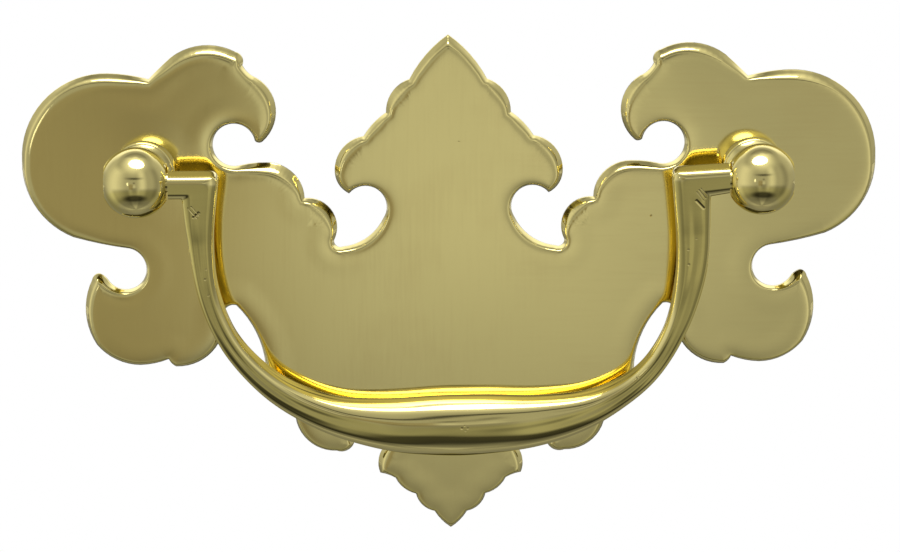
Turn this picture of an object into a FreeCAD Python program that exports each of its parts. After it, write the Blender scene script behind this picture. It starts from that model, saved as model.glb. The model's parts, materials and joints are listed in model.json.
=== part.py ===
import FreeCAD, Part
import math
import os

# Bail pull in cast brass: a pierced and bevelled back plate, two turned ball posts
# with threaded shanks, a swelled bail that swings between the balls, and two hex nuts.
#
# Frame: the origin lies midway between the two posts on the plate's back face.
# +X runs to the right, +Z up and +Y into the drawer front; the bail is on the -Y side.

Vec = FreeCAD.Vector
X_AXIS = Vec(1, 0, 0)
Y_AXIS = Vec(0, 1, 0)

# Driving dimensions, in millimetres and degrees

# Back plate
BORING = 88.9               # post centre to post centre, 3 1/2 inches
PLATE_THICKNESS = 2.0
BEVEL_WIDTH = 0.6           # seen from the front
BEVEL_DEPTH = 1.3           # into the plate's thickness
TIGHT_BEVEL = 0.5           # the bevel's widest share of the radius of a small round tip
POST_HOLE_RADIUS = 2.6
TIP_TOP = 19.9              # finial's tip above the post line
TIP_BOTTOM = -53.15         # pendant's tip below the post line

# Notches that are drilled before the outline is sawn: centre and radius
FINIAL_NOTCH = (12.2, -5.2, 3.1)
HOOK_NOTCH = (31.3, 4.0, 3.13)
SIDE_NOTCH = (47.5, -14.15, 3.1)
SKIRT_NOTCH = (11.75, -38.85, 2.9)

# Posts
BALL_HEIGHT = 11.0          # ball's centre in front of the plate
BALL_RADIUS = 5.05
BALL_ACROSS_FLATS = 8.75
FLAT_REACH = 3.8            # the flats are filed this far behind the ball's centre
FOOT_RADIUS = 4.75
FOOT_HEIGHT = 1.6
FOOT_EDGE = 0.35            # rounding of the foot's front rim
COVE_MIDDLE = (3.43, 2.86)  # radius and height halfway up the foot's cove
COVE_TOP = 5.2              # where the cove runs into the neck
NECK_RADIUS = 3.1
PILOT_RADIUS = 2.5          # shoulder that fills the plate's hole
SHANK_RADIUS = 2.25         # plain stretch behind the plate
SHANK_LENGTH = 9.5
THREAD_RADIUS = 2.08        # No. 8 screw, outside radius
POST_LENGTH = 25.4          # shank and thread behind the plate
THREAD_CHAMFER = 0.6

# Hex nuts, run on as for a drawer front 19 mm thick
DRAWER_FRONT = 19.05
NUT_ACROSS_FLATS = 8.73
NUT_THICKNESS = 3.18
NUT_CHAMFER = 30.0          # degrees

# Bail
PIN_RADIUS = 1.4
PIN_CLEARANCE = 0.05        # radial, in the ball's cross hole
PIN_LENGTH = 7.0
BALL_GAP = 0.3              # between the bail's shoulder and the ball's flat
BAR_HEIGHT = 3.8            # of the bar that leaves the ball
BAR_DEPTH = 4.4
BAR_POWER = 3.0             # how square the bars and arms are
BAR_BULGE = 0.35            # how round their facets are, from flat, 0, to full, 1
FLAT_TURN = 52.0            # degrees of the section that each of its four flats takes up
SHOULDER_WIDTH = 6.0        # of the arm at its corner
ARM_WIDTH = 3.4             # where it is slimmest, in the bend
ARM_DEPTH = 3.9
GRIP_WIDTH = 9.1
GRIP_DEPTH = 7.6
GRIP_POWER = 2.3
SWELL_REACH = 32.5          # the swell dies out this far from the middle
SWELL_POWER = 2.25          # how slender the swell's ends are
FLARE_DROP = 23.5           # the arms widen towards the corner over this drop
FLARE_POWER = 1.2           # how late they widen
CORNER = (34.9, 0.4)        # where the bar's and the arm's middle lines meet
ARM_START = 4.0             # the arm's curve starts this far below the pins
SPINE = [                   # middle line of one arm: out from the centre, down from the pins
    (35.2, 8.0),
    (34.58, 15.8),
    (32.4, 22.9),
    (28.83, 28.55),
    (23.35, 33.05),
    (17.0, 35.75),
    (9.0, 37.1),
]
GRIP_DROP = 37.4            # middle line at the centre of the grip
SECTIONS_PER_HALF = 10
REST_GAP = 0.1              # between the grip's back and the plate
REST_STEPS = 5              # small turns that lay the grip on the plate

PLATE_FRONT = -PLATE_THICKNESS
PIN_Y = PLATE_FRONT - BALL_HEIGHT
POST_X = BORING / 2


def on_circle(notch, angle):
    """Point on a drilled notch's edge, at an angle in degrees from +X towards +Z."""
    x, z, radius = notch
    turn = math.radians(angle)
    return (x + radius * math.cos(turn), z + radius * math.sin(turn))


def half_outline():
    """Right half of the plate's edge, from the top tip to the bottom tip.

    Each entry is (a point that the arc passes through, the arc's end).
    """
    finial = [
        ((3.05, 17.2), (5.65, 13.45)),
        ((7.9, 11.95), (9.1, 8.6)),
        ((10.95, 7.05), (12.4, 5.15)),
        ((15.55, 3.35), (16.65, 0.3)),
        ((16.15, -1.75), on_circle(FINIAL_NOTCH, 40)),
        (on_circle(FINIAL_NOTCH, 125), on_circle(FINIAL_NOTCH, 212)),
        ((12.0, -9.75), (15.6, -11.1)),
    ]
    shoulder = [
        ((16.55, -10.95), (16.85, -10.1)),
        ((17.25, -5.6), (21.1, -3.9)),
        ((22.35, -0.6), (26.6, 1.38)),
        ((28.6, 1.3), on_circle(HOOK_NOTCH, -107)),
        (on_circle(HOOK_NOTCH, 30), on_circle(HOOK_NOTCH, 169)),
    ]
    horn = [
        ((27.7, 4.33), (27.1, 4.5)),
        ((25.15, 8.2), (27.9, 13.75)),
        ((29.2, 14.6), (29.9, 15.6)),
        ((29.85, 16.6), (30.9, 17.55)),
        ((35.2, 18.56), (40.3, 16.8)),
        ((42.2, 15.05), (43.6, 13.65)),
    ]
    side_lobe = [
        ((46.4, 14.25), (49.5, 14.53)),
        ((58.2, 11.35), (62.24, 1.8)),
        ((60.15, -5.3), (55.0, -9.4)),
        ((51.0, -10.4), on_circle(SIDE_NOTCH, 103)),
        (on_circle(SIDE_NOTCH, 215), on_circle(SIDE_NOTCH, 325)),
    ]
    lower_lobe = [
        ((50.7, -15.2), (51.35, -14.85)),
        ((51.95, -15.0), (52.4, -15.7)),
        ((53.45, -20.3), (51.9, -25.4)),
        ((49.5, -27.4), (45.6, -28.45)),
        ((43.4, -28.2), (41.4, -27.6)),
        ((40.95, -28.25), (40.3, -28.7)),
        ((37.3, -28.15), (34.4, -25.85)),
    ]
    bay = [
        ((33.3, -23.4), (33.25, -21.0)),
        ((32.6, -19.85), (31.3, -19.65)),
        ((28.75, -23.1), (27.15, -28.4)),
    ]
    skirt = [
        ((26.1, -32.6), (22.9, -35.8)),
        ((21.05, -39.9), (16.8, -41.5)),
        ((15.0, -41.3), on_circle(SKIRT_NOTCH, -31)),
        (on_circle(SKIRT_NOTCH, 90), on_circle(SKIRT_NOTCH, 222)),
    ]
    pendant = [
        ((10.65, -42.9), (10.4, -44.85)),
        ((9.35, -45.1), (8.15, -45.65)),
        ((7.2, -46.95), (5.15, -48.05)),
        ((4.35, -49.6), (2.4, -50.7)),
        ((1.45, -51.95), (0, TIP_BOTTOM)),
    ]
    return finial + shoulder + horn + side_lobe + lower_lobe + bay + skirt + pendant


def outline_arcs():
    """Whole edge of the plate, clockwise from the top tip, as (start, via, end) in (x, z)."""
    right = []
    start = (0, TIP_TOP)
    for via, end in half_outline():
        right.append((start, via, end))
        start = end
    left = [tuple((-x, z) for x, z in reversed(arc)) for arc in reversed(right)]
    return right + left


def arc_inward(arc):
    """Inward unit normals at an arc's three points, and the most that its edge can be bevelled.

    The edge runs clockwise, so an arc that turns right has its centre inside the plate.
    """
    a, via, b = [complex(x, z) for x, z in arc]
    span, reach = b - a, via - a
    turn = (reach.conjugate() * span).imag
    centre = a + span * reach * (reach - span).conjugate() / (2j * turn)
    radius = abs(a - centre)
    inside = 1 if turn < 0 else -1
    limit = min(BEVEL_WIDTH, TIGHT_BEVEL * radius) if inside > 0 else BEVEL_WIDTH
    return [inside * (centre - p) / radius for p in (a, via, b)], limit


def bevelled_arcs(arcs):
    """The plate's edge moved inwards by the bevel's width, mitred where two arcs meet."""
    inward = [arc_inward(arc) for arc in arcs]
    corners = []
    for k, arc in enumerate(arcs):
        (normals, limit), (next_normals, next_limit) = inward[k], inward[(k + 1) % len(arcs)]
        before, after = normals[2], next_normals[0]
        shared = (before + after) / (1 + (before * after.conjugate()).real)
        corners.append(complex(*arc[2]) + min(limit, next_limit) * shared)
    moved = []
    for k, arc in enumerate(arcs):
        normals, limit = inward[k]
        via = complex(*arc[1]) + limit * normals[1]
        moved.append([(p.real, p.imag) for p in (corners[k - 1], via, corners[k])])
    return moved


def edge_wire(arcs, y):
    """Closed wire of arcs at one depth of the plate."""
    return Part.Wire([Part.Arc(*[Vec(x, y, z) for x, z in arc]).toShape() for arc in arcs])


def make_back_plate():
    """Flat plate sawn to the outline, with its front edge filed to a bevel all round."""
    arcs = outline_arcs()
    plate = Part.makeLoft([
        edge_wire(arcs, 0),
        edge_wire(arcs, PLATE_FRONT + BEVEL_DEPTH),
        edge_wire(bevelled_arcs(arcs), PLATE_FRONT),
    ], True, True)
    for side in (1, -1):
        centre = Vec(side * POST_X, PLATE_FRONT, 0)
        plate = plate.cut(Part.makeCylinder(POST_HOLE_RADIUS, PLATE_THICKNESS, centre, Y_AXIS))
    return plate


def make_post(side):
    """Ball post turned in one piece, then filed flat on two sides and cross drilled."""
    neck_meets_ball = BALL_HEIGHT - math.sqrt(BALL_RADIUS ** 2 - NECK_RADIUS ** 2)
    ball_top = BALL_HEIGHT + BALL_RADIUS

    def at(radius, height):
        """Profile point: a radius about the post's axis, a height in front of the plate."""
        return Vec(radius, PLATE_FRONT - height, 0)

    def line(a, b):
        return Part.LineSegment(at(*a), at(*b)).toShape()

    def arc(a, via, b):
        return Part.Arc(at(*a), at(*via), at(*b)).toShape()

    rim = FOOT_RADIUS - FOOT_EDGE
    edge_mid = FOOT_EDGE * math.sqrt(0.5)
    shank_end = -PLATE_THICKNESS - SHANK_LENGTH
    thread_end = -PLATE_THICKNESS - POST_LENGTH
    profile = [
        arc((0, ball_top), (BALL_RADIUS, BALL_HEIGHT), (NECK_RADIUS, neck_meets_ball)),
        line((NECK_RADIUS, neck_meets_ball), (NECK_RADIUS, COVE_TOP)),
        arc((NECK_RADIUS, COVE_TOP), COVE_MIDDLE, (rim, FOOT_HEIGHT)),
        arc((rim, FOOT_HEIGHT), (rim + edge_mid, FOOT_HEIGHT - FOOT_EDGE + edge_mid),
            (FOOT_RADIUS, FOOT_HEIGHT - FOOT_EDGE)),
        line((FOOT_RADIUS, FOOT_HEIGHT - FOOT_EDGE), (FOOT_RADIUS, 0)),
        line((FOOT_RADIUS, 0), (PILOT_RADIUS, 0)),
        line((PILOT_RADIUS, 0), (PILOT_RADIUS, -PLATE_THICKNESS)),
        line((PILOT_RADIUS, -PLATE_THICKNESS), (SHANK_RADIUS, -PLATE_THICKNESS)),
        line((SHANK_RADIUS, -PLATE_THICKNESS), (SHANK_RADIUS, shank_end)),
        line((SHANK_RADIUS, shank_end), (THREAD_RADIUS, shank_end)),
        line((THREAD_RADIUS, shank_end), (THREAD_RADIUS, thread_end + THREAD_CHAMFER)),
        line((THREAD_RADIUS, thread_end + THREAD_CHAMFER), (THREAD_RADIUS - THREAD_CHAMFER, thread_end)),
        line((THREAD_RADIUS - THREAD_CHAMFER, thread_end), (0, thread_end)),
        line((0, thread_end), (0, ball_top)),
    ]
    post = Part.Face(Part.Wire(profile)).revolve(Vec(0, 0, 0), Y_AXIS, 360)

    size = 2 * BALL_RADIUS
    for near in (BALL_ACROSS_FLATS / 2, -BALL_ACROSS_FLATS / 2 - size):
        waste = Part.makeBox(size, size, size)
        waste.translate(Vec(near, PIN_Y + FLAT_REACH - size, -size / 2))
        post = post.cut(waste)
    hole_start = Vec(-BALL_RADIUS, PIN_Y, 0)
    post = post.cut(Part.makeCylinder(PIN_RADIUS + PIN_CLEARANCE, size, hole_start, X_AXIS))
    post.translate(Vec(side * POST_X, 0, 0))
    return post


def make_nut(side):
    """Hex nut with the corners of both faces turned off."""
    corner_radius = NUT_ACROSS_FLATS / math.sqrt(3)
    corners = []
    for k in range(7):
        turn = math.radians(60 * k)
        corners.append(Vec(corner_radius * math.cos(turn), 0, corner_radius * math.sin(turn)))
    hexagon = Part.Face(Part.makePolygon(corners)).extrude(Vec(0, NUT_THICKNESS, 0))
    face_radius = NUT_ACROSS_FLATS / 2
    drop = (corner_radius - face_radius) * math.tan(math.radians(NUT_CHAMFER))
    turned = Part.makePolygon([
        Vec(0, 0, 0),
        Vec(face_radius, 0, 0),
        Vec(corner_radius, drop, 0),
        Vec(corner_radius, NUT_THICKNESS - drop, 0),
        Vec(face_radius, NUT_THICKNESS, 0),
        Vec(0, NUT_THICKNESS, 0),
        Vec(0, 0, 0),
    ])
    nut = hexagon.common(Part.Face(turned).revolve(Vec(0, 0, 0), Y_AXIS, 360))
    nut = nut.cut(Part.makeCylinder(THREAD_RADIUS, NUT_THICKNESS, Vec(0, 0, 0), Y_AXIS))
    nut.translate(Vec(side * POST_X, DRAWER_FRONT, 0))
    return nut


def bail_section(centre, across, depth, power, bulge):
    """Closed section of one arc to each facet: an oval squared off by a power, and faceted.

    across runs the whole width of the section, in the bail's own plane. The facets' corners
    lie on the curve |u|^power + |v|^power = 1, where u is the share of the half width and v
    of the half depth; a bulge of 1 keeps the curve between the corners, and a bulge of 0
    leaves flat facets.
    """
    def on_oval(angle):
        turn = math.radians(angle)
        u, v = math.cos(turn), math.sin(turn)
        size = (abs(u) ** power + abs(v) ** power) ** (-1 / power)
        return centre + across * (0.5 * size * u) + Vec(0, 0.5 * depth * size * v, 0)

    half = FLAT_TURN / 2
    flats = [(middle - half, middle + half) for middle in (0, 90, 180, 270)]
    chamfers = [(middle + half, middle + 90 - half) for middle in (0, 90, 180, 270)]
    edges = []
    for first, last in sorted(flats + chamfers):
        start, middle, end = [on_oval(angle) for angle in (first, (first + last) / 2, last)]
        chord_middle = (start + end) * 0.5
        via = chord_middle + (middle - chord_middle) * bulge
        edges.append(Part.Arc(start, via, end).toShape())
    return Part.Wire(edges)


def bail_spine():
    """Middle line of the bail, from its right corner round the grip to its left corner."""
    right = [Vec(x, 0, -drop) for x, drop in [CORNER] + SPINE]
    left = [Vec(-p.x, 0, p.z) for p in reversed(right)]
    spine = Part.BSplineCurve()
    spine.interpolate(right + [Vec(0, 0, -GRIP_DROP)] + left)
    return spine


def arm_section(spine, position):
    """Section square to the middle line: faceted on the arms, round and full at the grip."""
    point = spine.value(position)
    tangent = spine.tangent(position)[0]
    across = Vec(-tangent.z, 0, tangent.x)
    swell = max(0.0, 1 - (point.x / SWELL_REACH) ** 2) ** SWELL_POWER
    flare = max(0.0, 1 + point.z / FLARE_DROP) ** FLARE_POWER
    width = ARM_WIDTH + (GRIP_WIDTH - ARM_WIDTH) * swell + (SHOULDER_WIDTH - ARM_WIDTH) * flare
    depth = ARM_DEPTH + (GRIP_DEPTH - ARM_DEPTH) * swell + (BAR_DEPTH - ARM_DEPTH) * flare
    power = BAR_POWER + (GRIP_POWER - BAR_POWER) * swell
    bulge = BAR_BULGE + (1 - BAR_BULGE) * swell
    return bail_section(point, across * width, depth, power, bulge)


def bar_section(centre, across):
    """Section of the bar between ball and corner, square to it or along the corner's mitre."""
    return bail_section(centre, across, BAR_DEPTH, BAR_POWER, BAR_BULGE)


def make_bail():
    """Cast bail: round pins, square bars, mitred corners, and arms that swell to the grip.

    It is drawn upright in the plane y = 0 with its pins on the X axis, and then
    swung back about the pins until the grip lies on the plate.
    """
    spine = bail_spine()
    start = spine.parameter(Vec(SPINE[0][0], 0, -ARM_START))
    finish = spine.FirstParameter + spine.LastParameter - start
    steps = 2 * SECTIONS_PER_HALF
    sections = [arm_section(spine, start + (finish - start) * k / steps) for k in range(steps + 1)]
    bail = Part.makeLoft(sections, True)

    bar_end = POST_X - BALL_ACROSS_FLATS / 2 - BALL_GAP
    for side in (1, -1):
        corner = Vec(side * CORNER[0], 0, -CORNER[1])
        mitre = bar_section(corner, Vec(-side * SHOULDER_WIDTH, 0, BAR_HEIGHT))
        shoulder = bar_section(Vec(side * bar_end, 0, -CORNER[1]), Vec(0, 0, BAR_HEIGHT))
        arm_top = sections[0] if side > 0 else sections[-1]
        bar = Part.makeLoft([shoulder, mitre], True, True)
        upper_arm = Part.makeLoft([mitre, arm_top], True, True)
        pin = Part.makeCylinder(PIN_RADIUS, BALL_GAP + PIN_LENGTH,
                                Vec(side * bar_end, 0, 0), X_AXIS * side)
        bail = bail.fuse([bar, upper_arm, pin])

    bail.translate(Vec(0, PIN_Y, 0))
    pin_axis = Vec(0, PIN_Y, 0)
    for _ in range(REST_STEPS):
        gap = PLATE_FRONT - bail.optimalBoundingBox().YMax - REST_GAP
        bail.rotate(pin_axis, X_AXIS, math.degrees(math.asin(gap / GRIP_DROP)))
    return bail


def main():
    os.makedirs("parts", exist_ok=True)
    nodes = {
        "back_plate": make_back_plate(),
        "left_post": make_post(-1),
        "right_post": make_post(1),
        "bail": make_bail(),
        "left_nut": make_nut(-1),
        "right_nut": make_nut(1),
    }
    for name, made in nodes.items():
        shape = made.removeSplitter().Solids[0]
        shape.exportStep(f"parts/{name}.step")
        box = shape.optimalBoundingBox()
        print(f"{name}: {shape.ShapeType} valid {shape.isValid()} volume {shape.Volume:.1f} mm3, "
              f"box {box.XLength:.2f} x {box.YLength:.2f} x {box.ZLength:.2f}")


main()
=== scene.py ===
# %% [markdown]
# A bail pull is a drawer handle: a back plate lies on the drawer front, two ball posts go through
# both, and a swinging loop, the bail, hangs between the balls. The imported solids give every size
# and place. This lesson dresses them: soft edges, hand-finished surfaces, threads and brass.

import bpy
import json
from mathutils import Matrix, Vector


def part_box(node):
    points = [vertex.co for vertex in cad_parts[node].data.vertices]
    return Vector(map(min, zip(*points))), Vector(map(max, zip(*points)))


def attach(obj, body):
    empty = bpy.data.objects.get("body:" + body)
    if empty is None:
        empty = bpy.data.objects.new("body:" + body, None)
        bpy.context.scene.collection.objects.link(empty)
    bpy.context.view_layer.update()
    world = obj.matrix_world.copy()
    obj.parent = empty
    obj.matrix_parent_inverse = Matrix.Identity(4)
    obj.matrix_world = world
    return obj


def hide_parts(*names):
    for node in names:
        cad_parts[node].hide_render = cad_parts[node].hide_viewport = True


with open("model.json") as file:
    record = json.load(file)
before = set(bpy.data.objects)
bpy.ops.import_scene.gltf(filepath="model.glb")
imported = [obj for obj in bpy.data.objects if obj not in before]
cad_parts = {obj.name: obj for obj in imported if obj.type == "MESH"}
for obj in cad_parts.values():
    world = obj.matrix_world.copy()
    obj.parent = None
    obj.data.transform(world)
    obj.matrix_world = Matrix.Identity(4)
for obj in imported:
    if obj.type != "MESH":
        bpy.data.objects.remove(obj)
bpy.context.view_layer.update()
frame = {"nodes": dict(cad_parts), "record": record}

# %% Tools for arrays, meshes and shaders
import json
import math

import bpy
import numpy as np
from mathutils import Matrix, Vector
from mathutils.geometry import delaunay_2d_cdt

MM = 0.001
FIXED_BODY = "plate_and_posts"
SWING_BODY = "bail"
scene = bpy.context.scene
scene.view_settings.view_transform = "Standard"
print("colours are shown as", scene.view_settings.view_transform)

# %% [markdown]
# The camera comes first, because every later choice is judged through it. It stands in front of the
# pull and a little above it, and its long lens keeps both balls nearly the same size.

# %% Camera
CAMERA_PLACE = (0.0, -444.2, 50.2)     # millimetres
CAMERA_PITCH = 8.4246                  # degrees below the horizon
CAMERA_YAW = 0.0116
CAMERA_ROLL = -0.3457
CAMERA_LENS = 122.26                   # on a sensor 36 mm wide


def camera_turn(pitch, yaw, roll):
    """Axes of a camera that looks along +Y, turned by yaw, then pitched down, then rolled."""
    pitch, yaw, roll = (math.radians(angle) for angle in (pitch, yaw, roll))
    ahead = Vector((math.sin(yaw) * math.cos(pitch), math.cos(yaw) * math.cos(pitch), -math.sin(pitch)))
    level = Vector((math.cos(yaw), -math.sin(yaw), 0))
    upright = level.cross(ahead)
    right = math.cos(roll) * level + math.sin(roll) * upright
    up = math.cos(roll) * upright - math.sin(roll) * level
    return Matrix((right, up, -ahead)).transposed()


camera_data = bpy.data.cameras.new("camera")
camera_data.sensor_width = 36
camera_data.lens = CAMERA_LENS
camera_data.clip_start = 0.01
camera = bpy.data.objects.new("camera", camera_data)
camera.matrix_world = (Matrix.Translation(Vector(CAMERA_PLACE) * MM)
                       @ camera_turn(CAMERA_PITCH, CAMERA_YAW, CAMERA_ROLL).to_4x4())
scene.collection.objects.link(camera)
scene.camera = camera
print("camera at", [round(value, 3) for value in camera.location])

# %% [markdown]
# Shaders are sums. A small class wraps a node's socket, so that `1 - mask` or `a * b` reads as
# arithmetic and adds a Math node, and one method adds any other node.


# %% Shader arithmetic
class Wire:
    """A node's output socket that can be added, multiplied and compared."""

    def __init__(self, socket):
        self.socket = socket

    @classmethod
    def node(cls, tree, kind, settings=None, inputs=None, output=0):
        """Adds a node: its settings are set first, then its sockets get values or links."""
        made = tree.nodes.new(kind)
        for name, value in (settings or {}).items():
            setattr(made, name, value)
        for name, value in (inputs or {}).items():
            if isinstance(value, Wire):
                tree.links.new(value.socket, made.inputs[name])
            else:
                made.inputs[name].default_value = value
        return cls(made.outputs[output])

    def math(self, operation, *others, swapped=False):
        terms = [self, *others]
        if swapped:
            terms.reverse()
        return Wire.node(self.socket.id_data, "ShaderNodeMath", {"operation": operation},
                         dict(enumerate(terms)))

    def __add__(self, other):
        return self.math("ADD", other)

    def __sub__(self, other):
        return self.math("SUBTRACT", other)

    def __rsub__(self, other):
        return self.math("SUBTRACT", other, swapped=True)

    def __mul__(self, other):
        return self.math("MULTIPLY", other)

    def __truediv__(self, other):
        return self.math("DIVIDE", other)

    def __pow__(self, other):
        return self.math("POWER", other)

    def __gt__(self, other):
        return self.math("GREATER_THAN", other)

    def __abs__(self):
        return self.math("ABSOLUTE")

    __radd__ = __add__
    __rmul__ = __mul__

    def ramp(self, low, high):
        """0 below low, 1 above high, and a smooth rise between them."""
        return Wire.node(self.socket.id_data, "ShaderNodeMapRange", {"interpolation_type": "SMOOTHSTEP"},
                         {"Value": self, "From Min": low, "From Max": high})


def mix_colour(tree, share, first, second):
    """The first colour where share is 0, the second where it is 1."""
    return Wire.node(tree, "ShaderNodeMix", {"data_type": "RGBA"},
                     {"Factor": share, 6: first, 7: second}, output=2)


def coordinates(tree, output="Object"):
    return Wire.node(tree, "ShaderNodeTexCoord", output=output)


def axes(tree, vector):
    """The x, y and z of a vector as three values."""
    split = Wire.node(tree, "ShaderNodeSeparateXYZ", inputs={"Vector": vector}).socket.node
    return [Wire(socket) for socket in split.outputs]


def new_material(name):
    material = bpy.data.materials.new(name)
    material.use_nodes = True
    material.node_tree.nodes.clear()
    return material, material.node_tree


print("shader arithmetic is ready")

# %% [markdown]
# Polished brass shows its surroundings more than itself, so the studio matters as much as the metal.
# The room is pale and dim, brighter round the camera, at its walls and round the top light. Its dark
# shapes are a pit on the ground, the lens and a strip above it. Past the pull the camera sees white.

# %% The studio's walls: a world whose light depends on direction
ROOM_COLOUR = (1.0, 0.99, 0.97, 1)
WARM_COLOUR = (1.0, 0.9, 0.7, 1)
GROUND_COLOUR = (1.0, 0.98, 0.76, 1)
TOP_LIGHT = (-4, 68)      # side and height angles
DEGREES = math.degrees(1)


def hill(value, centre, width):
    """A smooth hill: 1 at the centre, falling to 0 at width on either side."""
    return 1 - abs(value - centre).ramp(0, width)


def band(value, low, high, edge):
    """1 between low and high, falling to 0 over edge on either side."""
    return value.ramp(low - edge, low) * (1 - value.ramp(high, high + edge))


def camera_ray(tree):
    """1 for rays that come straight from the camera."""
    return Wire.node(tree, "ShaderNodeLightPath", output="Is Camera Ray")


def toward(side, height):
    """Unit vector to a side angle, 0 ahead of the pull and + to the right, and a height angle."""
    side, height = math.radians(side), math.radians(height)
    return Vector((math.sin(side) * math.cos(height), -math.cos(side) * math.cos(height), math.sin(height)))


def room_glow(side, height, down, from_lamp, left):
    """Brightness without the dark shapes: a sum of hills over the angles, in degrees."""
    patch = hill(side, 0.5, 7) * hill(height, -6.5, 9)
    dip = hill(side, -4.8, 3.2) * hill(height, -4.2, 3)
    dip = dip + 0.6 * hill(side, 4.6, 2.6) * hill(height, -4, 2.5)
    low = hill(side, 0, 16) * down.ramp(7, 14) * (1 - down.ramp(20, 40))
    walls = 2.2 * hill(side, -70, 50) + 1.8 * hill(side, 27, 21) - 0.7 * hill(side, 78, 20)
    walls = walls * band(height, -30, 30, 20)
    back = abs(side).ramp(115, 155) * band(height, 18, 42, 12)
    beside = abs(side).ramp(85, 120) * band(height, 20, 42, 16)
    glow = 0.41 + 0.19 * patch - 0.08 * left - 0.1 * dip - 0.15 * low + 0.17 * walls + 0.8 * back
    glow = glow + 0.75 * hill(from_lamp, 0, 46) + 0.3 * height.ramp(60, 88) + 0.12 * beside
    return glow * (1 - 0.2 * down.ramp(10, 40)) + 0.12 * down.ramp(60, 80)


def room_shade(side, height, down):
    """Share of the light that the dark shapes leave: 1 where there are none."""
    pit = 1 - (((side / 66) ** 2 + ((height + 46.5) / 15.5) ** 2) ** 0.5).ramp(0.4, 1.05)
    below_pit = hill(side, 0, 70) * hill(height, -62, 20)
    lens = hill(side, 0, 6) * hill(height, 5, 5)
    frame_strip = hill(side, 0, 44) * hill(height, 19, 6)
    under = abs(side).ramp(95, 125) * down.ramp(0, 14)
    over = abs(side).ramp(100, 140) * band(height, 64, 78, 6)
    corners = abs(side).ramp(10, 25) * (1 - abs(side).ramp(70, 90)) * down.ramp(10, 22)
    shade = (1 - 0.84 * pit) * (1 - 0.45 * below_pit) * (1 - 0.6 * lens) * (1 - 0.85 * frame_strip)
    return shade * (1 - 0.3 * under) * (1 - 0.4 * over) * (1 - 0.4 * corners)


def paint_world():
    """The room's light by direction; the camera itself sees plain white instead."""
    world = bpy.data.worlds.new("studio")
    scene.world = world
    world.use_nodes = True
    tree = world.node_tree
    tree.nodes.clear()
    x, y, z = axes(tree, coordinates(tree, "Generated"))
    side = x.math("ARCTAN2", -1 * y) * DEGREES
    height = z.math("ARCSINE") * DEGREES
    down = -1 * height
    lamp = toward(*TOP_LIGHT)
    from_lamp = (x * lamp.x + y * lamp.y + z * lamp.z).math("ARCCOSINE") * DEGREES
    left = band(side, -15, -6, 4) * band(height, -13, -2, 6)
    strength = room_glow(side, height, down, from_lamp, left) * room_shade(side, height, down)
    ground = down.ramp(14, 28) * (1 - down.ramp(45, 60))
    colour = mix_colour(tree, ground, ROOM_COLOUR, GROUND_COLOUR)
    colour = mix_colour(tree, left, colour, WARM_COLOUR)
    room = Wire.node(tree, "ShaderNodeBackground", inputs={"Color": colour, "Strength": strength})
    white = Wire.node(tree, "ShaderNodeBackground", inputs={"Color": (1, 1, 1, 1), "Strength": 1.0})
    seen = camera_ray(tree)
    both = Wire.node(tree, "ShaderNodeMixShader", inputs={"Fac": seen, 1: room, 2: white})
    tree.links.new(both.socket, tree.nodes.new("ShaderNodeOutputWorld").inputs["Surface"])
    print("world of", len(tree.nodes), "nodes")


paint_world()

# %% [markdown]
# Two soft lamps give the metal its bright shapes: a large one overhead and a small strip at the left.

# %% Soft lights
SOFT_LIGHTS = {
    # name: (side angle, height angle, distance mm, width mm, height mm, brightness)
    "top_light": (*TOP_LIGHT, 340, 265, 200, 4.2),
    "left_strip": (-24, 1, 700, 60, 120, 1.2),
}

for name, (side, height, distance, width, tall, brightness) in SOFT_LIGHTS.items():
    lamp = bpy.data.lights.new(name, "AREA")
    lamp.shape = "ELLIPSE"
    lamp.size, lamp.size_y = width * MM, tall * MM
    lamp.energy = brightness * math.pi * lamp.size * lamp.size_y * math.pi / 4
    place = toward(side, height)
    light = bpy.data.objects.new(name, lamp)
    light.location = place * distance * MM
    light.rotation_euler = place.to_track_quat("Z", "Y").to_euler()
    scene.collection.objects.link(light)
    print(name, "gives", round(lamp.energy, 2), "W")

# %% [markdown]
# The floor lies far below and behind the pull, and looks as white as the room past it.

# %% Floor
FLOOR_DROP = 300          # below the post line
FLOOR_SIZE = (4000, 3600)
FLOOR_FRONT = 900         # its near edge, behind the pull


def make_floor():
    width, depth = FLOOR_SIZE
    x = np.array([-1, 1, 1, -1]) * width / 2
    y = FLOOR_FRONT + np.array([0, 0, 1, 1]) * depth
    corners = np.column_stack([x, y, np.full(4, -FLOOR_DROP)]) * MM
    mesh = bpy.data.meshes.new("floor")
    mesh.from_pydata(corners.tolist(), [], [(0, 1, 2, 3)])
    material, tree = new_material("white_floor")
    seen = camera_ray(tree)
    matt = Wire.node(tree, "ShaderNodeBsdfDiffuse", inputs={"Color": (0.9, 0.9, 0.9, 1)})
    white = Wire.node(tree, "ShaderNodeEmission", inputs={"Color": (1, 1, 1, 1), "Strength": 1.0})
    both = Wire.node(tree, "ShaderNodeMixShader", inputs={"Fac": seen, 1: matt, 2: white})
    tree.links.new(both.socket, tree.nodes.new("ShaderNodeOutputMaterial").inputs["Surface"])
    mesh.materials.append(material)
    floor = bpy.data.objects.new("floor", mesh)
    scene.collection.objects.link(floor)


make_floor()
print("floor laid")

# %% [markdown]
# All the pieces are brass, but each was finished in its own way: the plate was buffed in long strokes,
# the posts were turned, the bail was filed and polished by hand. One function mixes the metal, and
# each finish gives it a grain direction, a roughness and a share of pits.

# %% Brass
BRASS = (0.86, 0.755, 0.31, 1)
DULL_BRASS = (0.76, 0.63, 0.25, 1)
TARNISH_AND_EDGE_SHADE = (0.07, 0.055, 0.02, 1)       # painted shade along the plate's edges that look down, and tarnish on its unpolished back
PAINTED_REFLECTION_BRASS = (0.74, 0.58, 0.12, 1)     # painted reflection: the warm glow of the plate mirrored in the bail's back


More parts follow.
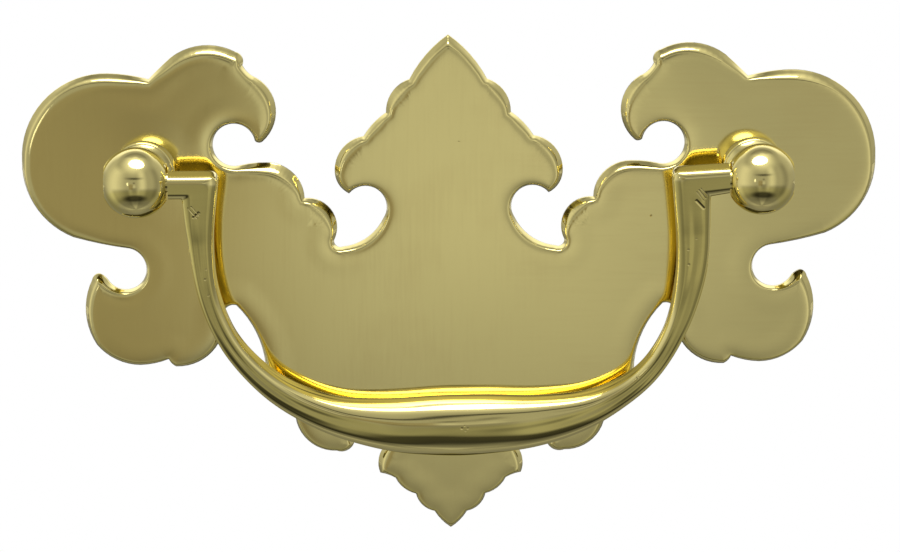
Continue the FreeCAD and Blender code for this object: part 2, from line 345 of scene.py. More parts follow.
def stretched_noise(tree, vector, scale, detail=2.0):
    """Noise drawn out along the axes where scale is small; scale is in waves per metre."""
    laid = Wire.node(tree, "ShaderNodeMapping", {"vector_type": "POINT"}, {"Vector": vector, "Scale": scale})
    return Wire.node(tree, "ShaderNodeTexNoise", {"noise_dimensions": "3D"},
                     {"Vector": laid, "Scale": 1.0, "Detail": detail, "Roughness": 0.6}, output=0)


def pits(tree, vector, spacing, size, share):
    """Small round casting pits: 1 inside a pit. Only some cells of the pattern hold one."""
    cells = Wire.node(tree, "ShaderNodeTexVoronoi", {"feature": "F1"},
                      {"Vector": vector, "Scale": 1 / spacing}).socket.node
    inside = 1 - Wire(cells.outputs["Distance"]).ramp(0.25 * size / spacing, size / spacing)
    red = Wire.node(tree, "ShaderNodeSeparateColor", inputs={"Color": Wire(cells.outputs["Color"])})
    return inside * (red > (1 - share))


def file_mark(x, z, mark):
    """1 on a straight scratch (x0, z0, x1, z1, width), all in millimetres, seen from the front."""
    x0, z0, x1, z1, width = mark
    length = math.hypot(x1 - x0, z1 - z0)
    ahead_x, ahead_z = (x1 - x0) / length, (z1 - z0) / length
    from_x, from_z = x - x0 * MM, z - z0 * MM
    along = from_x * ahead_x + from_z * ahead_z
    apart = abs(from_x * ahead_z - from_z * ahead_x)
    fade = 0.15 * length * MM
    return band(along, fade, length * MM - fade, fade) * (1 - apart.ramp(0, width * MM))


def single_pit(x, z, mark):
    """1 in a round pit (x, z, radius), in millimetres, seen from the front."""
    away = ((x - mark[0] * MM) ** 2 + (z - mark[1] * MM) ** 2) ** 0.5
    return 1 - away.ramp(0.2 * mark[2] * MM, mark[2] * MM)


def brass(name, roughness, strokes, stroke_depth, pit_share, scratches=(), lone_pits=()):
    """Polished brass. Strokes are one or two brushings, each (waves per metre along x, y and z);
    of two, the first lies on the left half and the second on the right."""
    material, tree = new_material(name)
    place = coordinates(tree)
    x, _, z = axes(tree, place)
    brushings = [stretched_noise(tree, place, stroke) for stroke in strokes]
    brushing = brushings[0] + (brushings[-1] - brushings[0]) * x.ramp(-10 * MM, 35 * MM)
    clouds = stretched_noise(tree, place, (60, 60, 60), detail=3.0)
    hollow = pits(tree, place, spacing=9 * MM, size=0.16 * MM, share=pit_share)
    rear = Wire.node(tree, "ShaderNodeAttribute", {"attribute_name": "rear"}, output="Fac")
    marks = [file_mark(x, z, mark) for mark in scratches] + [single_pit(x, z, mark) for mark in lone_pits]
    for mark in marks:
        hollow = hollow.math("MAXIMUM", mark * (1 - rear))
    dull = clouds.ramp(0.45, 0.75) * 0.3 + hollow * 0.6 + (brushing - 0.5) * 0.5
    shade = mix_colour(tree, dull, BRASS, DULL_BRASS)
    # Painted reflection: where the rear share is set, the base colour turns to the warm glow that the plate
    # throws back onto the bail.
    shade = mix_colour(tree, rear, shade, PAINTED_REFLECTION_BRASS)
    # Painted shade on the plate's edges that look down, together with real tarnish on its back; the same
    # share also roughens the metal.
    tarnish_and_shade = Wire.node(tree, "ShaderNodeAttribute", {"attribute_name": "tarnish_and_shade"}, output="Fac")
    shade = mix_colour(tree, tarnish_and_shade, shade, TARNISH_AND_EDGE_SHADE)
    uneven = (brushing - 0.5) * 0.6 + clouds.ramp(0.4, 0.8) * 0.3
    rough = roughness + uneven * roughness + tarnish_and_shade * 0.5
    depth = brushing * stroke_depth - hollow * (0.05 * MM)
    bump = Wire.node(tree, "ShaderNodeBump", inputs={"Strength": 1.0, "Distance": 1.0, "Height": depth})
    metal = Wire.node(tree, "ShaderNodeBsdfPrincipled", inputs={
        "Base Color": shade, "Metallic": 1.0, "Roughness": rough, "Normal": bump})
    tree.links.new(metal.socket, tree.nodes.new("ShaderNodeOutputMaterial").inputs["Surface"])
    return material


PLATE_STROKES = [(2400, 2400, 130), (130, 2400, 2400)]     # upright on the left, level on the right
PLATE_PITS = [(29.5, -6.6, 0.2), (1.5, 4.4, 0.15)]
BAIL_SCRATCHES = [
    (35.6, -1.0, 36.7, -2.3, 0.1), (35.3, -1.2, 36.5, -2.7, 0.13), (35.0, -1.5, 36.2, -3.0, 0.1),
    (34.9, -2.7, 36.3, -4.2, 0.3), (-37.1, -3.4, -35.6, -5.2, 0.14), (-36.6, -3.2, -35.3, -4.8, 0.11),
    (-36.4, -5.1, -35.3, -4.1, 0.3)]
BAIL_PITS = [
    (1.7, -36.5, 0.24), (2.55, -36.5, 0.2), (2.1, -36.1, 0.15), (2.2, -36.9, 0.14),
    (34.1, -10.1, 0.2), (34.2, -12.3, 0.22), (35.2, -8.5, 0.15), (-34.9, -14.1, 0.22),
    (-34.7, -12.6, 0.16), (-34.5, -16.5, 0.18), (27.2, -29.2, 0.3)]
plate_brass = brass("plate_brass", 0.07, PLATE_STROKES, 0.0003 * MM, 0.25, lone_pits=PLATE_PITS)
bail_brass = brass("bail_brass", 0.07, [(300, 1500, 1500)], 0.0004 * MM, 0.3, BAIL_SCRATCHES, BAIL_PITS)
post_brass = brass("post_brass", 0.08, [(60, 4000, 60)], 0.0003 * MM, 0.05)
nut_brass = brass("nut_brass", 0.3, [(900, 900, 900)], 0.002 * MM, 0.1)
print("brass finishes:", [m.name for m in (plate_brass, bail_brass, post_brass, nut_brass)])

# %% [markdown]
# Every new piece is a surface held in arrays. These helpers turn arrays into a Blender mesh that faces
# outwards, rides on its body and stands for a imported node.


# %% From arrays to pieces
def grid_faces(rows, columns):
    """Quads of a grid of rows by columns points, where the last column joins the first."""
    row, column = np.mgrid[0:rows - 1, 0:columns]
    beside = (column + 1) % columns
    corners = [row * columns + column, row * columns + beside,
               (row + 1) * columns + beside, (row + 1) * columns + column]
    return np.stack(corners, axis=-1).reshape(-1, 4)


def cap_faces(ring, tip):
    """Triangles from each side of a ring of points, given by their numbers, to one more point."""
    return np.column_stack([ring, np.roll(ring, -1), np.full(len(ring), tip)])


def signed_volume(points, faces):
    """Six times the volume inside: above zero where the faces point outwards."""
    corners = [points[faces[:, k]] for k in range(faces.shape[1])]
    pairs = zip(corners[1:-1], corners[2:])
    return sum(np.einsum("ij,ij->", corners[0], np.cross(b, c)) for b, c in pairs)


def new_piece(name, points, face_sets, material, body, node, sharp, shades=None):
    """A mesh from points in millimetres and arrays of faces, dressed and set in place of a node."""
    mesh = bpy.data.meshes.new(name)
    faces = [face for face_set in face_sets for face in face_set.tolist()]
    mesh.from_pydata((points * MM).tolist(), [], faces)
    mesh.polygons.foreach_set("use_smooth", np.ones(len(faces), bool))
    mesh.set_sharp_from_angle(angle=math.radians(sharp))
    for shade, values in (shades or {}).items():
        mesh.attributes.new(shade, "FLOAT", "POINT").data.foreach_set("value", values)
    mesh.materials.append(material)
    piece = bpy.data.objects.new(name, mesh)
    scene.collection.objects.link(piece)
    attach(piece, body)
    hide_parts(node)
    volume = sum(signed_volume(points, face_set) for face_set in face_sets) / 6
    print(name, "has", len(mesh.vertices), "points,", len(faces), "faces and", round(volume, 1), "mm3")


def node_arrays(node):
    """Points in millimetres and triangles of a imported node, with doubled points merged."""
    mesh = frame["nodes"][node].data
    mesh.calc_loop_triangles()
    points = np.empty(3 * len(mesh.vertices))
    triangles = np.empty(3 * len(mesh.loop_triangles), int)
    mesh.vertices.foreach_get("co", points)
    mesh.loop_triangles.foreach_get("vertices", triangles)
    points = (points.reshape(-1, 3) / MM).round(4)
    merged, index = np.unique(points, axis=0, return_inverse=True)
    return merged, index.ravel()[triangles].reshape(-1, 3)


print("helpers for pieces are ready")

# %% [markdown]
# The plate was cast, sawn to its scalloped outline, filed to a steep bevel and buffed. Buffing rounds
# the crest of the bevel and lets the flat roll off just before it. A bevel modifier can't make that
# roll, so the front is a height over the outline: how far a point lies below the flat depends on its
# distance to the edge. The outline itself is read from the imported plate.

# %% Outline of the plate
EDGE_STEP = 0.3           # longest stretch of the plate's edge between two points


def rim_loops(points, triangles):
    """Closed lines round the plate's back face: its sides that belong to one triangle only."""
    back = triangles[(np.abs(points[triangles][:, :, 1]) < 1e-3).all(axis=1)]
    sides = np.vstack([back[:, [0, 1]], back[:, [1, 2]], back[:, [2, 0]]])
    _, first, count = np.unique(np.sort(sides, axis=1), axis=0, return_index=True, return_counts=True)
    following = dict(sides[first[count == 1]].tolist())
    loops = []
    while following:
        loop = [next(iter(following))]
        while loop[-1] in following:
            loop.append(following.pop(loop[-1]))
        loops.append(points[loop[:-1]][:, [0, 2]])
    return sorted(loops, key=lambda loop: -np.ptp(loop[:, 0]))


def cut_finer(loop, step):
    """The same closed line, with each straight stretch cut into equal parts no longer than step."""
    ahead = np.roll(loop, -1, axis=0) - loop
    parts = np.ceil(np.linalg.norm(ahead, axis=1) / step).astype(int)
    index = np.repeat(np.arange(len(loop)), parts)
    share = (np.arange(len(index)) - np.repeat(np.cumsum(parts) - parts, parts)) / parts[index]
    return loop[index] + share[:, None] * ahead[index]


def inward(loop):
    """Unit normals of a closed line, pointing to its inside."""
    ahead = np.roll(loop, -1, axis=0) - loop
    turn = np.sum(loop[:, 0] * np.roll(loop[:, 1], -1) - loop[:, 1] * np.roll(loop[:, 0], -1))
    ahead /= np.linalg.norm(ahead, axis=1)[:, None]
    along = ahead + np.roll(ahead, 1, axis=0)
    along /= np.linalg.norm(along, axis=1)[:, None]
    return np.sign(turn) * np.column_stack([-along[:, 1], along[:, 0]])


edge, *holes = [cut_finer(loop, EDGE_STEP) for loop in rim_loops(*node_arrays("back_plate"))]
print("the edge has", len(edge), "points, the holes", [len(hole) for hole in holes])

# %% The plate's front as a height
PLATE_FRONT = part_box("back_plate")[0].y / MM
POST_PLACES = np.array([hole.mean(axis=0) for hole in holes])
HOLE_RADIUS = np.linalg.norm(holes[0] - POST_PLACES[0], axis=1).max()
FOOT_RADIUS = 4.75                   # of the posts' feet, where the plate stays flat
BEVEL_DEPTH = 1.3
BEVEL_WIDTH = (0.36, 0.8)            # on edges that look down, and on edges that look up
LEAST_BEVEL = 0.28
FILE_REACH = 2.0                     # a flat file spans scallops of this size
FILE_SPAN = (-0.4, 0.38)             # and so narrows the bevel between them and widens it on them
ROLL_DEPTH, ROLL_REACH = 0.1, 0.9    # how far buffing has worn the flat at its edge, and how far in
SIDE_WEAR = 2.0                      # how much further it has worn the ends of the plate
CREST = (0.2, 0.45)                  # how softly the flat turns into the bevel, in the same places
CREST_REACH = 1.6                    # how far in its rounding is felt, in widths of the bevel
WAVE, WAVE_FADE = 0.015, 4           # height of the flat's slow waves, and where they fade out
EDGE_LEFT = 0.3                      # least thickness at the edge
UP_ROUNDS, SPAN_ROUNDS = 60, 25      # rounds of averaging along the edge


def nearest(points, line):
    """Number of the line's point nearest to each point, and the distance; a block at a time."""
    blocks = np.array_split(points, max(1, len(points) // 1500))
    index = np.concatenate([
        np.linalg.norm(block[:, None] - line[None], axis=2).argmin(axis=1) for block in blocks])
    return index, np.linalg.norm(points - line[index], axis=1)


def from_posts(place):
    """Distance of each point to the nearer post."""
    return np.min([np.linalg.norm(place - post, axis=1) for post in POST_PLACES], axis=0)


def smoothed(values, rounds):
    """A closed row of values after so many rounds of averaging neighbours."""
    for _ in range(rounds):
        values = 0.5 * values + 0.25 * (np.roll(values, 1) + np.roll(values, -1))
    return values


def bridged(line, reach):
    """How far inside each point a closed line lies after it was averaged over reach."""
    step = np.linalg.norm(np.roll(line, -1, axis=0) - line, axis=1)
    along = np.cumsum(step) - step
    apart = np.abs(along[:, None] - along[None])
    apart = np.minimum(apart, step.sum() - apart)
    weight = np.exp(-0.5 * (apart / reach) ** 2) * (step + np.roll(step, 1))[None]
    return np.sum((weight @ line / weight.sum(axis=1)[:, None] - line) * inward(line), axis=1)


looks_up = np.clip(0.5 - 0.85 * inward(edge)[:, 1], 0, 1)     # 1 on edges that look up, 0 down
upper_share = smoothed(looks_up, UP_ROUNDS)
file_span = smoothed(np.clip(bridged(edge, FILE_REACH), *FILE_SPAN), SPAN_ROUNDS)
file_span = file_span * (0.3 + 0.7 * upper_share)
bevel_width = BEVEL_WIDTH[0] + (BEVEL_WIDTH[1] - BEVEL_WIDTH[0]) * upper_share + file_span
bevel_width = np.maximum(bevel_width, LEAST_BEVEL)
print("the bevel is", bevel_width.min().round(2), "to", bevel_width.max().round(2), "mm wide")


def face_height(place):
    """y of the plate's front at (x, z), at the distance d from its edge.

    bevel = depth (1 - d / width), roll = worn exp(-d / reach), a = bevel - roll. The front lies
    below the flat by roll + f (a + sqrt(a^2 + crest^2)) / 2, a soft maximum of roll and bevel
    that f = exp(-(d / (c width))^2) fades out, and by slow waves, which end at the edge and at
    the posts' feet.
    """
    x, z = place.T
    index, distance = nearest(place, edge)
    width, crest = bevel_width[index], CREST[0] + (CREST[1] - CREST[0]) * upper_share[index]
    worn = ROLL_DEPTH * (1 + 0.5 * np.sin(x / 6.1 + 0.7) * np.sin(z / 5.3 + 1.1))
    worn = worn * (1 + SIDE_WEAR * np.clip((np.abs(x) - 50) / 10, 0, 1))
    filed = 1 + 0.14 * np.sin(x / 4.7 + z / 3.9) + 0.1 * np.sin(x / 2.3 - z / 7.1)
    bevel = BEVEL_DEPTH * (1 - distance / (width * filed))
    roll = worn * np.exp(-distance / ROLL_REACH)
    above = bevel - roll
    soft = 0.5 * (above + np.sqrt(above ** 2 + crest ** 2))
    below = roll + soft * np.exp(-(distance / (CREST_REACH * width)) ** 2)
    wave = 2 + np.sin(x / 7.3 + 0.4) * np.sin(z / 6.1) + np.sin((x + z) / 9.7)
    foot = from_posts(place) - FOOT_RADIUS
    fade = np.clip(distance / WAVE_FADE, 0, 1) * np.clip(foot / WAVE_FADE, 0, 1)
    return np.minimum(PLATE_FRONT + below + WAVE * wave * fade, -EDGE_LEFT)


print("at the edge the front lies at y =", face_height(edge[:1]).round(2))

# %% The plate as one closed mesh
RINGS = np.array([0.06, 0.13, 0.2, 0.28, 0.36, 0.44, 0.52, 0.6, 0.68, 0.76,
                  0.85, 0.95, 1.06, 1.18, 1.32, 1.5, 1.75, 2.1, 2.5, 2.9])   # distances from the edge
EDGE_SHADE_WIDTH = 0.2                   # width of the painted shade along the edges that look down
BACK_TARNISH = 0.3                   # share of tarnish on the unpolished back
HOLE_MARGIN = 0.4                    # free of points round the holes
FACE_GRID = 0.9                      # spacing of the points further in


def face_points():
    """Points of the front: rings that follow the edge, dense at the crest, and a grid further in."""
    rings = (edge[None] + RINGS[:, None, None] * inward(edge)[None]).reshape(-1, 2)
    rings = rings[nearest(rings, edge)[1] > 0.985 * np.repeat(RINGS, len(edge))]
    low, high = edge.min(axis=0), edge.max(axis=0)
    rows = np.arange(low[1], high[1], FACE_GRID * math.sqrt(0.75))
    x, z = np.meshgrid(np.arange(low[0], high[0], FACE_GRID), rows)
    x = x + 0.5 * FACE_GRID * (np.arange(len(rows)) % 2)[:, None]
    grid = np.column_stack([x.ravel(), z.ravel()])
    grid = grid[nearest(grid, edge)[1] > RINGS[-1] + 0.5 * FACE_GRID]
    points = np.vstack([rings, grid])
    return points[from_posts(points) > HOLE_RADIUS + HOLE_MARGIN]


def ring_numbers(loops):
    """Numbers of the points of closed lines, counted through, and of the point after each."""
    starts = np.cumsum([0] + [len(loop) for loop in loops[:-1]])
    rings = [first + np.arange(len(loop)) for first, loop in zip(starts, loops)]
    return np.concatenate(rings), np.concatenate([np.roll(ring, -1) for ring in rings])


def fill(loops, inside_points):
    """Points and triangles of the area between closed lines, with more points inside it."""
    sides = np.column_stack(ring_numbers(loops))
    place = np.vstack(loops + [inside_points])
    found = delaunay_2d_cdt([Vector(p) for p in place.tolist()], sides.tolist(), [], 4, 1e-6)
    place, triangles = np.array([tuple(p) for p in found[0]]), np.array(found[2])
    in_hole = from_posts(place[triangles].mean(axis=1)) < HOLE_RADIUS
    print("filled with", len(triangles), "triangles, of which", in_hole.sum(), "lay in the holes")
    used, triangles = np.unique(triangles[~in_hole], return_inverse=True)
    return place[used], triangles.reshape(-1, 3)


def build_plate():
    """Front, back and walls, joined along the edge and the holes."""
    loops = [edge, *holes]
    place, front_faces = fill(loops, face_points())
    flat, back_faces = fill(loops, np.empty((0, 2)))
    front = np.column_stack([place[:, 0], face_height(place), place[:, 1]])
    back = np.column_stack([flat[:, 0], np.zeros(len(flat)), flat[:, 1]])
    rim, ahead = ring_numbers(loops)
    walls = np.column_stack([rim, ahead, ahead + len(front), rim + len(front)])
    turned = (back_faces + len(front))[:, ::-1]
    index, distance = nearest(place, edge)
    # Painted shade: a dark line along the edges that look down and none on those that look up; the back gets
    # real tarnish.
    tarnish_and_shade = np.exp(-(distance / EDGE_SHADE_WIDTH) ** 2) * np.clip(1 - 1.6 * upper_share[index], 0, 1)
    new_piece("dressed_plate", np.vstack([front, back]), [front_faces, turned, walls], plate_brass,
              FIXED_BODY, "back_plate", sharp=38,
              shades={"tarnish_and_shade": np.append(tarnish_and_shade, np.full(len(back), BACK_TARNISH))})


build_plate()

# %% [markdown]
# The bail was cast, filed to flats and chamfers, mitred at its corners, and polished until every ridge
# was soft. Its surface is a sweep: a faceted section follows the middle line from one pin to the other,
# and its width, depth and roundness change on the way.

# %% Sizes of the bail
PIN_AXIS_Y = frame["record"]["behaviour"]["joints"][0]["pos_m"][1] / MM
PIN_RADIUS, PIN_LENGTH, PIN_CHAMFER = 1.4, 7.3, 0.2
SHOULDER_X = 39.775                  # where the bar ends, beside the ball
BAR_HEIGHT, BAR_DEPTH, BAR_POWER = 3.8, 4.4, 3.0
SHOULDER_WIDTH, ARM_WIDTH, ARM_DEPTH = 6.0, 3.4, 3.9
GRIP_WIDTH, GRIP_DEPTH, GRIP_POWER = 9.1, 7.6, 2.3
SWELL_REACH, SWELL_POWER, FLARE_DROP, FLARE_POWER = 32.5, 2.25, 23.5, 1.2
FRONT_TURN, SIDE_TURN = 52.0, 78.0   # degrees of the section that the flats take up
FLAT_BULGE, CHAMFER_BULGE, GRIP_BULGE = 0.12, 1.05, 0.95
CORNER = (34.9, 0.4)
ARM_START = 4.0
SPINE = [(35.2, 8.0), (34.58, 15.8), (32.4, 22.9), (28.83, 28.55), (23.35, 33.05), (17.0, 35.75),
         (9.0, 37.1), (0.0, 37.4)]
OUTER_ROUND, INNER_ROUND = 1.3, 0.25  # how far a mitre's rounding reaches, outside and inside
BAR_RISE, BAR_EXTRA = 0.4, 0.35      # the right bar climbs to its ball and is higher by this much
# The bail was filed by eye. From the corner, 0, to the middle of the grip, 1, the right arm lies
# further in and is wider by these amounts, and the left arm further out and narrower.
HAND_PLACES = np.array([0, 0.06, 0.15, 0.25, 0.35, 0.5, 0.6, 0.75, 0.9, 1])
HAND_SHIFT = [0.44, 0.44, 0.29, 0.2, 0.08, -0.29, -0.26, -0.05, 0.09, 0]
HAND_WIDTH = [0.2, 0.29, 0.64, 0.62, 0.14, -0.14, -0.1, 0.47, 0.17, 0]
COLUMNS = 144
RING_ANGLES = np.arange(COLUMNS) * 360 / COLUMNS
ARM_ROWS = 150                       # of one half


def natural_spline(along, knots, places):
    """Natural cubic spline through knots that lie at the lengths along; and its slope.

    The second derivatives m solve h0 m0 + 2 (h0 + h1) m1 + h1 m2 = 6 (d1 - d0) with zero ends.
    """
    h = np.diff(along)
    slope = np.diff(knots, axis=0) / h[:, None]
    matrix = np.eye(len(knots))
    inner = np.arange(1, len(knots) - 1)
    matrix[inner, inner - 1] = h[:-1]
    matrix[inner, inner] = 2 * (h[:-1] + h[1:])
    matrix[inner, inner + 1] = h[1:]
    right = np.zeros_like(knots)
    right[1:-1] = 6 * np.diff(slope, axis=0)
    m = np.linalg.solve(matrix, right)
    k = np.clip(np.searchsorted(along, places) - 1, 0, len(h) - 1)
    a, b, gap = (along[k + 1] - places)[:, None], (places - along[k])[:, None], h[k][:, None]
    value = (m[k] * a ** 3 + m[k + 1] * b ** 3) / (6 * gap)
    value = value + (knots[k] / gap - m[k] * gap / 6) * a + (knots[k + 1] / gap - m[k + 1] * gap / 6) * b
    return value, (m[k + 1] * b ** 2 - m[k] * a ** 2) / (2 * gap) + slope[k] - gap * (m[k + 1] - m[k]) / 6


def middle_line(shares):
    """Points (x, drop) and unit tangents of the middle line; shares run from corner, 0, to corner, 1."""
    half_line = [CORNER] + SPINE
    knots = np.array(half_line + [(-x, drop) for x, drop in half_line[-2::-1]])
    along = np.concatenate([[0], np.cumsum(np.linalg.norm(np.diff(knots, axis=0), axis=1))])
    points, slope = natural_spline(along, knots, shares * along[-1])
    return points, slope / np.linalg.norm(slope, axis=1)[:, None]


print("the middle line is lowest at", middle_line(np.array([0.5]))[0].round(2))


# %% The faceted section
def section(power, flat_bulge, chamfer_bulge):
    """Unit section as arrays u, v of shape (rows, columns).

    An oval |u|^p + |v|^p = 1 is cut at eight corners, four flats and four chamfers; between two
    corners it runs from the chord, at bulge 0, to the oval, at bulge 1. Four rounds of
    averaging neighbours soften the ridges.
    """
    def oval(angle):
        u, v = np.cos(np.radians(angle)), np.sin(np.radians(angle))
        size = (np.abs(u) ** power + np.abs(v) ** power) ** (-1 / power)
        return np.stack([size * u, size * v])

    power, flat_bulge, chamfer_bulge = (np.atleast_1d(value)[:, None]
                                        for value in (power, flat_bulge, chamfer_bulge))
    angle = RING_ANGLES
    middles = np.arange(0, 361, 90)
    half_turns = np.array([SIDE_TURN, FRONT_TURN, SIDE_TURN, FRONT_TURN, SIDE_TURN]) / 2
    corners = np.column_stack([middles - half_turns, middles + half_turns]).ravel()
    k = np.searchsorted(corners, angle, side="right") - 1
    share = (angle - corners[k]) / (corners[k + 1] - corners[k])
    chord = oval(corners[k]) * (1 - share) + oval(corners[k + 1]) * share
    shape = chord + np.where(k % 2 == 0, flat_bulge, chamfer_bulge) * (oval(angle) - chord)
    for _ in range(4):
        shape = 0.5 * shape + 0.25 * (np.roll(shape, 1, axis=-1) + np.roll(shape, -1, axis=-1))
    return shape


def between(first, last, shares):
    """Rows of points that run straight from one row to another."""
    return first[None] + shares[:, None, None] * (last - first)[None]


def upright(x, depth, z):
    """Rows of points (x, y, z) of the bail in its own plane, before it is laid back."""
    return np.stack(np.broadcast_arrays(x, depth, z), axis=-1)


bar_u, bar_v = section(BAR_POWER, FLAT_BULGE, CHAMFER_BULGE)[:, 0]
print("a section has", COLUMNS, "points")


# %% Half of the bail, from a pin to the middle of the grip
def pin_rows():
    """Three rings of the pin: its chamfered end and its root at the bar's shoulder."""
    turn = np.radians(RING_ANGLES)
    end = SHOULDER_X + PIN_LENGTH
    radius = np.array([PIN_RADIUS - PIN_CHAMFER, PIN_RADIUS, PIN_RADIUS])[:, None]
    x = np.array([end, end - PIN_CHAMFER, SHOULDER_X])[:, None]
    return upright(x, radius * np.sin(turn), radius * np.cos(turn))


def corner_rows(side, steps=9):
    """The mitre, rounded: each point follows a Bezier curve m + t (1 - q)^2 e1 + t q^2 e2.

    e1 points along the bar to the ball, e2 down the arm, and t grows from the inside of the
    corner to the outside.
    """
    q = np.linspace(0, 1, steps)[:, None]
    reach = INNER_ROUND + (OUTER_ROUND - INNER_ROUND) * (bar_u + 1) / 2
    x = CORNER[0] - side * HAND_SHIFT[0] - 0.5 * (SHOULDER_WIDTH + side * HAND_WIDTH[0]) * bar_u
    z = -CORNER[1] + 0.5 * BAR_HEIGHT * bar_u + BAR_EXTRA * (1 + side) / 2 * (1 + bar_u) / 2
    return upright(x + reach * (1 - q) ** 2, 0.5 * BAR_DEPTH * bar_v, z - reach * q ** 2)


def arm_rows(side):
    """Sections square to the middle line from the arm's start to the middle of the grip."""
    shares = np.linspace(0, 0.2, 400)
    start = np.interp(ARM_START, middle_line(shares)[0][:, 1], shares)
    shares = np.linspace(start, 0.5, ARM_ROWS)
    point, tangent = middle_line(shares)
    hand, _ = natural_spline(HAND_PLACES, np.column_stack([HAND_SHIFT, HAND_WIDTH]), 2 * shares)
    shift, wider = side * hand.T[:, :, None]
    x, drop = point.T[:, :, None]
    across = np.stack([-tangent[:, 1], -tangent[:, 0]])[:, :, None]
    swell = np.clip(1 - (x / SWELL_REACH) ** 2, 0, 1) ** SWELL_POWER
    flare = np.clip(1 - drop / FLARE_DROP, 0, 1) ** FLARE_POWER
    width = ARM_WIDTH + (GRIP_WIDTH - ARM_WIDTH) * swell + (SHOULDER_WIDTH - ARM_WIDTH) * flare + wider
    depth = ARM_DEPTH + (GRIP_DEPTH - ARM_DEPTH) * swell + (BAR_DEPTH - ARM_DEPTH) * flare
    round_off = swell[:, 0]
    u, v = section(BAR_POWER + (GRIP_POWER - BAR_POWER) * round_off,
                   FLAT_BULGE + (GRIP_BULGE - FLAT_BULGE) * round_off,
                   CHAMFER_BULGE + (GRIP_BULGE - CHAMFER_BULGE) * round_off)
    away = 0.5 * width * u + shift
    return upright(x + across[0] * away, 0.5 * depth * v, -drop + across[1] * away)


def half_bail(side):
    """Rows of the right half, as it is on the right, side 1, or mirrored on the left, side -1."""
    pin, corner, arm = pin_rows(), corner_rows(side), arm_rows(side)
    rise = (BAR_RISE + BAR_EXTRA * (1 + bar_u) / 2) * (1 + side) / 2
    shoulder = upright(SHOULDER_X, 0.5 * BAR_DEPTH * bar_v, -CORNER[1] + rise + 0.5 * BAR_HEIGHT * bar_u)
    bar = between(shoulder, corner[0], np.linspace(0, 1, 6)[:-1])
    upper_arm = between(corner[-1], arm[0], np.linspace(0, 1, 6)[1:-1])
    return np.vstack([pin, bar, corner, upper_arm, arm])


right_half, left_half = half_bail(1), half_bail(-1)
grip_height = np.ptp(right_half[-1, :, 2]).round(2)
print("half a bail has", len(right_half), "rows; its grip is", grip_height, "mm high")

# %% The whole bail, laid back on the plate
RIPPLE = 0.02             # height of the waves that the file left along the bail
STROKE = 0.011            # height of its long strokes
PLAIN_END, PLAIN_FADE = 14, 6     # length at each end without them, and where they fade in


def ripples(rows):
    """Slow waves that run along the bail and differ from side to side."""
    middle = rows.mean(axis=1, keepdims=True)
    step = np.linalg.norm(np.diff(middle[:, 0], axis=0), axis=1)
    along = np.concatenate([[0], np.cumsum(step)])[:, None]
    turn = np.radians(RING_ANGLES)
    height = np.sin(along / 2.7 + 2 * turn) + np.sin(along / 1.5 - turn + 1.3)
    height = height + np.sin(along / 4.1 + 3 * turn)
    stroke = np.sin(9 * turn + 1.5 * np.sin(along / 9)) + np.sin(14 * turn - 1.2 * np.sin(along / 7 + 2))
    away = rows - middle
    away /= np.maximum(np.linalg.norm(away, axis=2, keepdims=True), 1e-6)
    from_end = np.minimum(along, along[-1] - along)
    fade = np.clip((from_end - PLAIN_END) / PLAIN_FADE, 0, 1)
    return rows + (fade * (RIPPLE * (height - 3) + STROKE * (stroke - 2)))[:, :, None] * away


def laid_back(points, back):
    """The bail turned about its pins until its rear just reaches the depth back."""
    turn = 0.0
    y, z = points[..., 1], points[..., 2]
    for _ in range(8):
        rear = (y * math.cos(turn) - z * math.sin(turn)).max() + PIN_AXIS_Y
        turn += math.asin((back - rear) / SPINE[-1][1])
    print("the bail hangs back by", round(math.degrees(turn), 2), "degrees")
    return np.stack([points[..., 0], y * math.cos(turn) - z * math.sin(turn) + PIN_AXIS_Y,
                     y * math.sin(turn) + z * math.cos(turn)], axis=-1)


def build_bail():
    """Both halves as one tube, closed by a disc at each pin's end."""
    mirrored = left_half[-2::-1] * np.array([-1, 1, 1])
    rows = laid_back(ripples(np.vstack([right_half, mirrored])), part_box("bail")[1].y / MM)
    count = len(rows)
    points = np.vstack([rows.reshape(-1, 3), rows[[0, -1]].mean(axis=1)])
    ring = np.arange(COLUMNS)
    last = (count - 1) * COLUMNS + ring
    caps = [cap_faces(ring[::-1], count * COLUMNS), cap_faces(last, count * COLUMNS + 1)]
    # The rear share paints the plate's warm reflection onto the side of the bail that faces it.
    rear = np.append(np.tile(np.clip(2.2 * bar_v - 1, 0, 1), count), [0, 0])
    new_piece("dressed_bail", points, [grid_faces(count, COLUMNS)] + caps,
              bail_brass, SWING_BODY, "bail", sharp=48, shades={"rear": rear})


build_bail()

# %% [markdown]
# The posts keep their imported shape, a ball with filed flats on a coved foot, but their shanks get a
# real screw thread, No. 8 with 32 turns to the inch. A thread is a tube whose radius depends on the
# height and the angle together.

# %% Posts with threads
THREAD_PITCH = 25.4 / 32
THREAD_RADIUS, THREAD_DEPTH = 2.08, 0.46
SHANK_END, POST_END, TIP_CHAMFER = 9.5, 25.4, 0.6
THREAD_COLUMNS = 48
ROWS_PER_TURN = 10


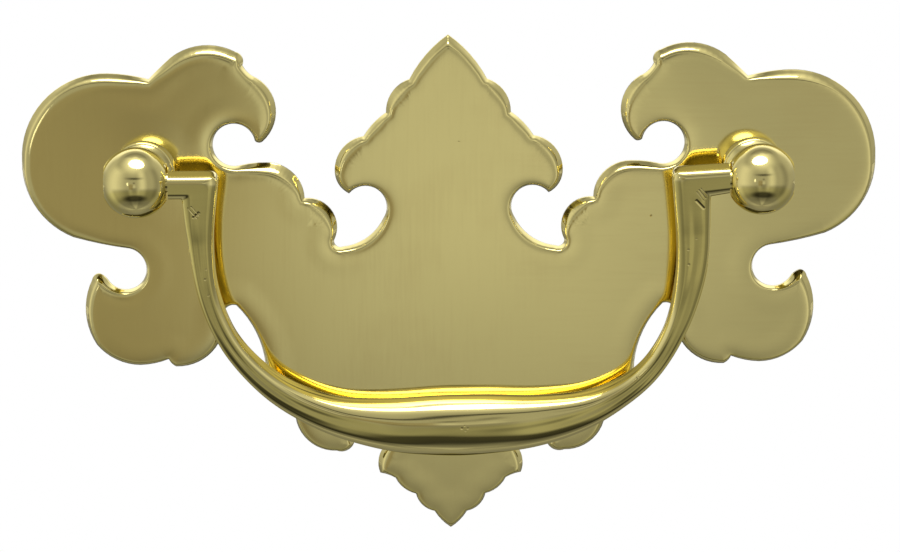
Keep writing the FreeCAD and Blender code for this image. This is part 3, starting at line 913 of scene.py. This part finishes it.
def thread_rows():
    """Radius r = R - depth * groove(y / pitch - angle / 360), where groove is a cut-off triangle wave."""
    rows = int((POST_END - SHANK_END) / THREAD_PITCH * ROWS_PER_TURN)
    y = np.linspace(SHANK_END, POST_END, rows)[:, None]
    angle = np.arange(THREAD_COLUMNS)[None] / THREAD_COLUMNS
    wave = np.abs((y / THREAD_PITCH - angle) % 1 - 0.5) * 2
    groove = np.clip(1.6 * wave - 0.3, 0, 1)
    fade = np.clip((y - SHANK_END) / THREAD_PITCH, 0, 1)
    tip = THREAD_RADIUS - np.clip(y - (POST_END - TIP_CHAMFER), 0, TIP_CHAMFER)
    radius = np.minimum(THREAD_RADIUS - THREAD_DEPTH * groove * fade, tip)
    turn = 2 * np.pi * angle
    return np.stack(np.broadcast_arrays(radius * np.cos(turn), y, radius * np.sin(turn)), axis=-1)


def build_post(side):
    """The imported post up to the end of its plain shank, then a thread closed by a flat tip."""
    node = side + "_post"
    points, triangles = node_arrays(node)
    triangles = triangles[points[triangles][:, :, 1].max(axis=1) < SHANK_END + 1e-3]
    used, triangles = np.unique(triangles, return_inverse=True)
    body, triangles = points[used], triangles.reshape(-1, 3)
    centre_x = (body[:, 0].min() + body[:, 0].max()) / 2
    rows = thread_rows() + np.array([centre_x, 0, 0])
    tip = [[centre_x, POST_END, 0]]
    quads = grid_faces(len(rows), THREAD_COLUMNS)[:, ::-1] + len(body)
    last = len(body) + (len(rows) - 1) * THREAD_COLUMNS + np.arange(THREAD_COLUMNS)
    cap = cap_faces(last[::-1], len(body) + rows.shape[0] * THREAD_COLUMNS)
    new_piece(side + "_ball_post", np.vstack([body, rows.reshape(-1, 3), tip]), [triangles, quads, cap],
              post_brass, FIXED_BODY, node, sharp=30)


for side in ("left", "right"):
    build_post(side)

# %% [markdown]
# The nuts sit inside the drawer, out of sight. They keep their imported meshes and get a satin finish.

# %% Nuts
for side in ("left", "right"):
    nut = frame["nodes"][side + "_nut"]
    nut.data.materials.clear()
    nut.data.materials.append(nut_brass)
    print(nut.name, "is finished in", nut_brass.name)
